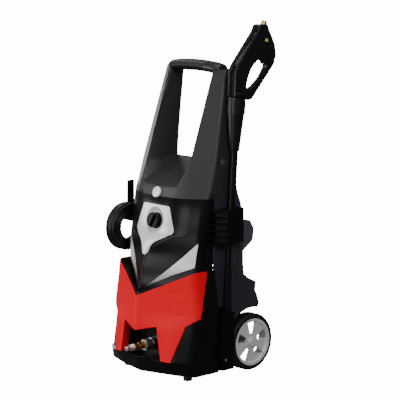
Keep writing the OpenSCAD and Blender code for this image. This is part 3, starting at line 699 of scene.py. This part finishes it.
def make_red_cover():
    """The red cover between its V-shaped top and arched bottom, with a raised band in the arch."""
    cover = sheet("red_cover", front_surface(RED, 50, red_edge, -60, 22, smooth=False), "red")
    outline = pair([(0, 136), (65, 153), (82, 58), (115, 58), (142, 159), (190, 192), (190, 320)])
    side = [(-260, 40), (-128, 40), (-128, 180), (-86, 297), (-86, 320), (-260, 320)]
    combine(cover, prism("cutter", outline, -280, -50, "Y"), "INTERSECT")
    combine(cover, prism("cutter", side, -220, 220, "X"), "INTERSECT")
    arch = pair([(0, 136), (65, 153), (82, 57)])
    outer_arch = pair([(0, 139.5), (68, 156.5), (85.5, 58)])
    band = prism("band", outer_arch, -230, -168, "Y", "red")
    combine(band, prism("cutter", arch, -240, -160, "Y"))
    combine(band, front_solid(RED, (50, 100, 150, 187, 250), -100, 0.2), "INTERSECT")
    for grooved_side in (-1, 1):
        for start, end in GROOVES:
            combine(cover, groove_cutter(start, end, grooved_side))
    clean(cover)
    join(cover, clean(band))
    soften(cover, 0.9, 2, 30)
    stand_in_for(cover, "body", "red_front_cover")


def make_front_housing():
    """The black moulding: its skirt, the face behind the red cover, and a ledge under the V."""
    heights = (17, 23, 40, 57, 58, 80, 104, 127, 150, 168, 187)
    low = [front_line(row_at(HOUSING, z, False), SPLIT_Y) for z in heights]
    behind_red = front_surface(RED, heights[-1], lambda x: red_edge(x) - 0.5, SPLIT_Y, 8, smooth=False)
    under_v = front_surface(COVER, lambda x: red_edge(x) + 1, lambda x: v_edge(x) + 3, SPLIT_Y, 6)
    rows = low + inset_rows(behind_red, WALL + 1)[1:] + inset_rows(under_v, WALL + 1)
    housing = sheet("front_moulding", rows, "black_satin", sharp=28)
    inner = pair([(0, 144), (72, 162.5), (91, 61)])
    recess = prism("recess", pair([(0, 148), (75, 166), (94, 57)]), -205, -145, "Y")
    combine(recess, front_solid(HOUSING, (57.5, 58, 100, 150, 187), -100, 1), "INTERSECT")
    combine(housing, recess, "UNION")
    combine(housing, prism("cutter", inner, -240, -148, "Y"))
    clean(housing)
    soften(housing, 1.2, 2, 30)
    stand_in_for(housing, "body", "front_housing")


COVER_HOLE_R = 31
PANEL_HOLE_R = 23.2


def knob_hole(radius):
    """A cutter for the round hole that the knob sits in."""
    hole = lathe("cutter", [(0, -40), (radius, -40), (radius, 40), (0, 40)], "black_plastic", 48)
    return move_mesh(hole, KNOB_FRAME)


def make_upper_cover():
    """The V-shaped cover, open behind the panel's dish."""
    cover = sheet("upper_cover", front_surface(COVER, v_edge, BODY_TOP, SPLIT_Y, 44), "black_satin")
    combine(cover, knob_hole(COVER_HOLE_R))
    clean(cover)
    soften(cover, 1.4, 3, 34)
    stand_in_for(cover, "body", "upper_front_cover")


# Half widths of the control panel by height, from its beak up.
PANEL = [(345, 3), (349, 8), (356, 12), (364, 15), (373, 19), (381, 27), (389, 41), (398, 58),
         (404, 68), (408, 72), (414, 73), (425, 70), (442, 64), (461, 57.5), (474, 53), (478, 51),
         (480, 47)]
PANEL_PROUD = 3.2
PANEL_THICK = 2
PANEL_COLUMNS = 56
DISH_Z = 437
DISH_R = 37
DISH_SLOPE = 14
DISH_DEPTH = 6.5


def dish_depth(x, z):
    """How far the panel is dished round the knob: a smooth slope down to a flat middle."""
    down = min(1, max(0, (DISH_R - math.hypot(x, z - DISH_Z)) / DISH_SLOPE))
    return down * down * (3 - 2 * down) * DISH_DEPTH


def make_panel():
    """The silver shield that lies on the upper cover, dished round the knob."""
    front, back = [], []
    for z, half in smooth_line(PANEL, 5):
        row, under = [], []
        for k in range(PANEL_COLUMNS + 1):
            x = half * (2 * k / PANEL_COLUMNS - 1)
            out = normal_at(COVER, x, z)
            on_cover = Vector((x, y_at(COVER, x, z), z))
            proud = PANEL_PROUD - dish_depth(x, z)
            row.append(tuple(on_cover + out * proud))
            under.append(tuple(on_cover + out * (proud - PANEL_THICK)))
        front.append(row)
        back.append(under)
    panel = sheet("panel", front, "silver", 40, back)
    combine(panel, knob_hole(PANEL_HOLE_R))
    clean(panel, 40)
    soften(panel, 0.7, 2, 40)
    stand_in_for(panel, "body", "control_panel")


# Lower edge of the right-hand trim. Its upper edge lies just under the V.
TRIM = [(12, 255.5), (30, 265.5), (46, 275), (60, 283), (76, 291.5), (90, 298), (104, 304),
        (119, 310.5), (133, 317)]


TRIM_STEPS = 12
TRIM_LEAN = 6
TRIM_GAP = 1.2
TRIM_PROUD = 0.3


def make_trim(side, name):
    """A light strip between its lower edge and the V, which leans outward as it rises."""
    low = smooth_line(TRIM, 4)
    rows = []
    for k in range(TRIM_STEPS + 1):
        t = k / TRIM_STEPS
        row = []
        for low_x, low_z in low:
            x = low_x + TRIM_LEAN * t
            z = low_z + (v_edge(x) - TRIM_GAP - low_z) * t
            on_cover = Vector((x * side, y_at(COVER, x, z), z))
            row.append(tuple(on_cover + normal_at(COVER, x * side, z) * TRIM_PROUD))
        rows.append(row if side > 0 else row[::-1])
    trim = sheet(name, rows, "trim_silver_painted_reflection", 40)
    soften(trim, 0.6, 2, 40)
    stand_in_for(trim, "body", "panel_" + name)


# The badge's section, as (radius, height), and its place, with its Z pointing out of the handle.
BADGE_PROFILE = [(0, -4), (15.2, -4), (15.5, 1.8), (15.0, 2.6), (13.6, 2.8), (12.9, 2.0), (11.5, 1.7),
                 (6, 2.1), (0, 2.3)]
BADGE_FRAME = Matrix.Translation((0, -128, 515)) @ Matrix.Rotation(math.radians(70), 4, "X")


def make_badge():
    """The blank round disc under the handle's window, with a raised rim."""
    badge = lathe("badge", BADGE_PROFILE, "silver", 48)
    move_mesh(badge, BADGE_FRAME)
    soften(badge, 0.3, 2, 40)
    stand_in_for(badge, "body", "badge_disc")


LIP_IN = 1.5
LIP_REACH = 2


def rear_line(row):
    """Rear section at one height, from the right side round the back to the left side.

    Its ends are a narrow lip that lies under the front mouldings.
    """
    z, x, y, reach = row
    right, back_right, back_left, left = (x, SPLIT_Y), (x, y), (-x, y), (-x, SPLIT_Y)
    ring = [(x - LIP_IN, SPLIT_Y - LIP_REACH), right] + between(right, (x, y - reach), 4)
    ring += corner(right, back_right, back_left, reach, 8)
    ring += between((x - reach, y), (-x + reach, y), 8)
    ring += corner(back_right, back_left, left, reach, 8)
    ring += between((-x, y - reach), left, 4) + [left, (LIP_IN - x, SPLIT_Y - LIP_REACH)]
    return [(*p, z) for p in ring]


def arc_points(centre, radius, first, last, n):
    """Points round a centre, from one angle to another in degrees."""
    return [(centre[0] + radius * math.cos(math.radians(first + (last - first) * k / n)),
             centre[1] + radius * math.sin(math.radians(first + (last - first) * k / n)))
            for k in range(n + 1)]


def make_mudguard(side):
    """A mudguard over one wheel, with its crease and its arched lower edge."""
    outline = [(99, 228), (109, 209), (115, 188)] + arc_points(AXLE, 99, 76, 139, 14)
    outline += [(6, 156), (6, 296), (39, 294), (71, 268), (102, 253)]
    inner = [(90, 224), (100, 205), (104, 190)] + arc_points(AXLE, 104, 78, 136, 14)
    inner += [(12, 164), (12, 286), (37, 286), (66, 262), (92, 246)]
    guard = prism("guard", outline, 117 * side, 160 * side, "X", "slate")
    combine(guard, prism("cutter", inner, 110 * side, 157 * side, "X"))
    return guard


SLOTS = 6
SLOT_PITCH = 14
SLOT_HEIGHT = 6
SLOT_HALF = 60
SLOT_LOW = 200


def make_rear_housing():
    """The rear moulding with both mudguards and the cooling slots."""
    heights = (17, 26, 80, 140, 188, 196, 230, 265, 300, 330, 355, 380, 400, 420, 440, 460, 480, 492,
               BODY_TOP)
    rows = [rear_line(row_at(REAR, z, False)) for z in heights]
    housing = sheet("rear_moulding", rows, "slate")
    for side in (-1, 1):
        combine(housing, make_mudguard(side), "UNION")
    for i in range(SLOTS):
        low = SLOT_LOW + SLOT_PITCH * i
        high = low + SLOT_HEIGHT
        slot = [(-SLOT_HALF, low), (SLOT_HALF, low), (SLOT_HALF, high), (-SLOT_HALF, high)]
        combine(housing, prism("cutter", slot, 85, 120, "Y"))
    clean(housing)
    soften(housing, 1.2, 2, 30)
    stand_in_for(housing, "body", "rear_housing")


# ------------------------------------------------------------------ handle

HANDLE_STEPS = 18
SOFT_KNEE = 30
CRISP_KNEE = 6
KNEE_CHANGE = 95  # height over which the handle's knee turns from soft to crisp


def handle_ring(z):
    """Outline of the handle at one height. The knee is soft below the window and crisp beside it."""
    _, nose_y, knee_x, knee_y, side_x, side_y = row_at(HANDLE, z)
    rear = row_at(HANDLE_REAR, z)[1]
    knee = SOFT_KNEE - (SOFT_KNEE - CRISP_KNEE) * min(1, max(0, (z - BODY_TOP) / KNEE_CHANGE))
    corners = [(-side_x, side_y), (-knee_x, knee_y), (0, nose_y), (knee_x, knee_y), (side_x, side_y),
               (side_x, rear), (-side_x, rear)]
    ring = rounded_ring(corners, [8, knee, 40, knee, 8, 18, 18], 6)
    return [(x, y, z) for x, y in ring]


def lip_height(y):
    """Height of the sloping sill of the handle's window."""
    slope = (WINDOW_REAR_LIP - WINDOW_LIP) / WINDOW_LIP_DEPTH
    return WINDOW_LIP + (y - WINDOW_LIP_Y) * slope


def make_handle():
    """The handle's moulding with its window, parted into a front and a rear half."""
    steps = range(HANDLE_STEPS + 1)
    rings = [handle_ring(BODY_TOP + (ARM_TOP - BODY_TOP) * k / HANDLE_STEPS) for k in steps]
    handle = loft("handle", rings, "charcoal")
    opening = pair([(66, WINDOW_LIP - 40), (66, WINDOW_LIP), (WINDOW_HALF, WINDOW_LIP + 65),
                    (WINDOW_HALF, 900)])
    cutter = prism("cutter", opening, -200, 200, "Y")
    above_lip = [(-200, lip_height(-200)), (120, lip_height(120)), (120, 900), (-200, 900)]
    combine(cutter, prism("slope", above_lip, -150, 150, "X"), "INTERSECT")
    combine(handle, cutter)
    clean(handle)
    soften(handle, 1.8, 3, 40)
    apply_modifiers(handle)
    front_part = [(-200, 495), (-25, 495), (-25, 597), (27, ARM_TOP + 5), (-200, ARM_TOP + 5)]
    for name, operation in (("handle_front", "INTERSECT"), ("handle_rear", "DIFFERENCE")):
        half = handle.copy()
        half.name = name
        half.data = handle.data.copy()
        scene.collection.objects.link(half)
        combine(half, prism("cutter", front_part, -150, 150, "X"), operation)
        clean(half)
        stand_in_for(half, "body", name + "_shell")
    bpy.data.objects.remove(handle)


GRIP_STEPS = 160
GRIP_REACH = 103
GRIP_Y = 28
GRIP_Z = 858
GRIP_ARCH = 7
GRIP_END_R = 10
GRIP_DEEPER = 17  # how much deeper the grip is between its ends
GRIP_HIGHER = 6  # how much higher the grip is between its ends
GRIP_RIB = 1.5
GRIP_RIBBED = (-88, 50)
GRIP_ROUND = 40


def make_grip():
    """The arched rubber grip: fine ribs round it, and a plain cap over each arm's end."""
    rings = []
    for k in range(GRIP_STEPS + 1):
        x = GRIP_REACH * (2 * k / GRIP_STEPS - 1)
        t = x / GRIP_REACH
        end = math.sqrt(max(0.0, 1 - abs(t) ** 12))
        rib = GRIP_RIB if k % 4 == 0 and GRIP_RIBBED[0] < x < GRIP_RIBBED[1] else 0
        depth = GRIP_END_R + GRIP_DEEPER * end - rib
        height = GRIP_END_R + GRIP_HIGHER * end - rib
        ring = []
        for j in range(GRIP_ROUND):
            a = 2 * math.pi * j / GRIP_ROUND
            ring.append((x, GRIP_Y + depth * math.cos(a),
                         GRIP_Z - GRIP_ARCH * t * t + height * math.sin(a)))
        rings.append(ring)
    grip = loft("grip", rings, "rubber", 60)
    for side in (-1, 1):
        under = [(WINDOW_HALF * side, 800), (130 * side, 800), (130 * side, ARM_TOP + 0.3),
                 (WINDOW_HALF * side, ARM_TOP + 0.3)]
        combine(grip, prism("cutter", under, -20, 80, "Y"))
    clean(grip, 60)
    stand_in_for(grip, "body", "handle_grip")


# ------------------------------------------------------------------ wheels

TREAD_STEPS = 120
TREAD_DEPTH = 2.2
TREAD_LANE = 8
SHOULDER = 7


def make_tyre(side, name):
    """A tyre with staggered tread blocks and a stepped side wall."""
    width = TRACK_OUTER - TYRE_INNER
    wall = [(0, RIM_R), (0, 72), (0.5, 75), (1.5, 77.8), (4, 80.4), (SHOULDER, 81.4)]
    profile = [(TYRE_INNER + x, r) for x, r in wall]
    profile += [(TYRE_INNER + SHOULDER + (width - 2 * SHOULDER) * k / 8, WHEEL_R) for k in range(1, 8)]
    profile += [(TRACK_OUTER - x, r) for x, r in reversed(wall)]
    rings = []
    for x, r in profile + [profile[0]]:
        ring = []
        lane = int((x - TYRE_INNER - 4) // TREAD_LANE)
        for k in range(TREAD_STEPS):
            cut = (k + 2 * (lane % 2)) % 4 == 0 and r > 80
            depth = TREAD_DEPTH if cut else 0
            a = 2 * math.pi * k / TREAD_STEPS
            ring.append((x, (r - depth) * math.cos(a), (r - depth) * math.sin(a)))
        rings.append(ring)
    tyre = loft(name, rings, "tyre", 50, caps=False)
    move_mesh(tyre, Matrix.Translation((0, *AXLE)) @ Matrix.Scale(side, 4, (1, 0, 0)))
    soften(tyre, 0.5, 2, 40)
    body = "wheel_right" if side > 0 else "wheel_left"
    stand_in_for(tyre, body, body + "_tyre")


# ------------------------------------------------------------------ gun

# The lance's own frame: its Z runs up the tube.
LANCE_FRAME = Matrix.Translation((165, -31, 25)) @ Matrix.Rotation(math.radians(-3.8), 4, "X")

# Outlines of the gun's body and of its trigger guard in the lance's frame, as (y, z), and how far
# each of their corners is rounded.
GUN_BODY = [(-21, 758), (-24, 835), (58, 941), (62, 953), (68, 958), (92, 958), (100, 942),
            (126, 902), (131, 868), (102, 846), (94, 858), (82, 866), (62, 861), (45, 848), (28, 823),
            (20, 798), (21, 786), (21, 758)]
GUN_BODY_CUTS = [3, 16, 10, 6, 6, 6, 8, 18, 6, 4, 8, 8, 8, 10, 10, 6, 3, 3]
GUN_GUARD = [(131, 868), (133, 853), (50, 752), (36, 748), (21, 756), (21, 786), (30, 778), (54, 784),
             (86, 813), (102, 840), (102, 846)]
GUN_GUARD_CUTS = [3, 8, 6, 6, 4, 2, 6, 14, 14, 8, 3]
GUN_SCREWS = [(-15, 838), (-15, 771), (108, 900)]
GUN_SCREW_R = 3.2
SHELL_DEPTH = 16
SHELL_RADIUS = 6.5
GUARD_DEPTH = 9
GUARD_RADIUS = 4


def moulded_half(name, outline, cuts, depth, radius, side):
    """Half of a moulding: an outline along X with its outer rim rounded."""
    ring = rounded_ring(outline, cuts, 5)
    piece = prism(name, ring, 0, depth, "X", "gun_black")
    rim = piece.data.attributes.new("bevel_weight_edge", "FLOAT", "EDGE")
    verts = piece.data.vertices
    for edge in piece.data.edges:
        outer = all(verts[v].co.x > (depth - 0.1) * MM for v in edge.vertices)
        rim.data[edge.index].value = 1.0 if outer else 0.0
    soften(piece, radius, 5, weights=True)
    apply_modifiers(piece)
    if side < 0:
        move_mesh(piece, Matrix.Scale(-1, 4, (1, 0, 0)))
    return piece


def make_gun_shell(side, name):
    """One half of the gun, with the guard on it and the screw holes in its outer face."""
    shell = moulded_half(name, GUN_BODY, GUN_BODY_CUTS, SHELL_DEPTH, SHELL_RADIUS, side)
    guard = moulded_half("guard", GUN_GUARD, GUN_GUARD_CUTS, GUARD_DEPTH, GUARD_RADIUS, side)
    combine(shell, guard, "UNION")
    for y, z in GUN_SCREWS:
        low, high = SHELL_DEPTH - 4, SHELL_DEPTH + 4
        bore = [(0, low), (GUN_SCREW_R, low), (GUN_SCREW_R, high), (0, high)]
        hole = lathe("cutter", bore, "black_plastic", 20)
        turn = Matrix.Rotation(math.radians(90 * side), 4, "Y")
        move_mesh(hole, Matrix.Translation((0, y, z)) @ turn)
        combine(shell, hole)
    clean(shell, 40)
    move_mesh(shell, LANCE_FRAME)
    stand_in_for(shell, "gun", name)


# ------------------------------------------------------------------ small parts

# The knob's section, as (radius, height).
KNOB_PROFILE = [(0, 3), (20, 3), (21.5, 4), (22, 6), (21.6, 12.5), (20.4, 14), (18, 14), (16.5, 12.6),
                (0, 12.2)]
KNOB_STEPS = 96
FLUTE_DEPTH = 0.5


def make_knob():
    """The round knob: a skirt with fine flutes, a dished face and a raised bar across it."""
    rings = []
    for r, z in KNOB_PROFILE:
        ring = []
        for k in range(KNOB_STEPS):
            flute = FLUTE_DEPTH if k % 4 < 2 and r > 21 else 0
            a = 2 * math.pi * k / KNOB_STEPS
            ring.append(((r - flute) * math.cos(a), (r - flute) * math.sin(a), z))
        rings.append(ring)
    knob = loft("knob_cap", rings, "black_plastic", 40, caps=False)
    bar = prism("bar", rounded_ring([(-4, -18), (4, -18), (3, 18), (-3, 18)], 2.5), 11, 19.6, "Z")
    move_mesh(bar, Matrix.Rotation(math.radians(-25), 4, "Z"))
    combine(knob, bar, "UNION")
    clean(knob, 35)
    move_mesh(knob, KNOB_FRAME)
    soften(knob, 0.5, 2, 35)
    stand_in_for(knob, "knob", "power_knob")


def dress_cad(name, width, angle=30):
    """Keeps a CAD node and rounds its edges with modifiers, which leave its own mesh alone."""
    node = nodes[name]
    node.data.shade_smooth()
    weld = node.modifiers.new("weld", "WELD")
    weld.merge_threshold = 0.02 * MM
    soften(node, width, 2, angle)


def set_cad_materials():
    """Gives every CAD node the look of its slot, or its own."""
    for part in frame["record"]["subparts"]:
        mesh = nodes[part["node"]].data
        mesh.materials.clear()
        look = OWN_LOOKS.get(part["node"], part["material_slot"])
        mesh.materials.append(MATERIALS[look])


# Radius in millimetres that each kept CAD node's edges are rounded to.
SOFT_NODES = {
    "rear_hose_hook": 2.0, "cord_hook": 0.8, "lance_bracket": 0.8, "lance_pocket": 1.5,
    "rubber_feet": 1.0, "cover_screws": 0.3, "outlet_adaptor": 0.4, "outlet_nut": 0.8,
    "outlet_nipple": 0.4, "cord_gland": 0.5, "power_plug": 1.0, "wheel_left_rim": 0.9,
    "wheel_left_cap": 0.8, "wheel_right_rim": 0.9, "wheel_right_cap": 0.8, "gun_screws": 0.2,
    "gun_inlet": 0.4, "gun_collar": 1.0, "lance_sleeve": 0.8, "lance_tube": 0.6, "nozzle": 0.8,
    "trigger": 2.0, "lock_button": 0.8, "wheel_axle": 0.5, "water_inlet": 0.6}


# ------------------------------------------------------------------ floor and light

def glowing_white(name, strength):
    """A plain white that is bright by itself, so that the studio stays white round the machine."""
    glow = new_material(name, (0.8, 0.8, 0.8), 0.9)
    shader = glow.node_tree.nodes["Principled BSDF"]
    shader.inputs["Emission Color"].default_value = (1, 1, 1, 1)
    shader.inputs["Emission Strength"].default_value = strength
    return glow


def make_stage(name, verts, place, strength):
    """A floor or a screen of the studio. It lights the picture but not the machine."""
    mesh = bpy.data.meshes.new(name)
    mesh.from_pydata(verts, [], [(0, 1, 2, 3)])
    stage = bpy.data.objects.new(name, mesh)
    scene.collection.objects.link(stage)
    stage.matrix_world = place
    stage.visible_diffuse = False
    stage.visible_glossy = False
    mesh.materials.append(glowing_white(name + "_white", strength))


STAGE_GLOW = 14.0


def make_studio():
    """A white floor and a white screen behind the machine, square to the camera."""
    floor = [(-30, -30, 0), (30, -30, 0), (30, 30, 0), (-30, 30, 0)]
    make_stage("floor", floor, Matrix.Identity(4), STAGE_GLOW)
    centre = Vector((0, 0, 0.47))
    aim = (centre - scene.camera.location).normalized()
    screen = [(-4, -2.5, 0), (4, -2.5, 0), (4, 2.5, 0), (-4, 2.5, 0)]
    turn = aim.to_track_quat("-Z", "Y").to_matrix().to_4x4()
    make_stage("backdrop", screen, Matrix.Translation(centre + aim * 9) @ turn, STAGE_GLOW)


def make_light(name, place, size, power, aim=(0, 0, 0.45)):
    """A soft box that points at the machine's middle unless told otherwise, in metres and watts."""
    data = bpy.data.lights.new(name, "AREA")
    data.shape = "RECTANGLE"
    data.size = size[0]
    data.size_y = size[1]
    data.energy = power
    light = bpy.data.objects.new(name, data)
    scene.collection.objects.link(light)
    light.location = place
    light.rotation_euler = (Vector(aim) - Vector(place)).to_track_quat("-Z", "Y").to_euler()


def make_world(strength):
    """A faint even light from all round."""
    world = bpy.data.worlds.new("studio")
    scene.world = world
    world.use_nodes = True
    background = world.node_tree.nodes["Background"]
    background.inputs["Color"].default_value = (1, 1, 1, 1)
    background.inputs["Strength"].default_value = strength


# ------------------------------------------------------------------ the object

make_red_cover()
make_front_housing()
make_upper_cover()
make_panel()
make_trim(-1, "trim_left")
make_trim(1, "trim_right")
make_badge()
make_rear_housing()
make_handle()
make_grip()
make_tyre(-1, "tyre_left")
make_tyre(1, "tyre_right")
make_gun_shell(-1, "gun_shell_left")
make_gun_shell(1, "gun_shell_right")
make_knob()
set_cad_materials()
for node_name, edge in SOFT_NODES.items():
    dress_cad(node_name, edge)

make_studio()
make_world(0.12)
make_light("key_left", (-2.6, -3.0, 2.0), (1.0, 2.4), 62)
make_light("front", (0.4, -3.6, 1.0), (1.2, 1.2), 34)
make_light("left_back", (-3.3, 1.5, 1.2), (1.4, 2.2), 45)
make_light("low_left", (-2.6, -2.2, 0.3), (0.8, 0.5), 22, (0, -0.2, 0.1))
make_light("right_front", (3.4, -1.8, 2.8), (1.4, 1.4), 76)
make_light("top", (0.0, 0.0, 3.2), (1.6, 1.6), 30)
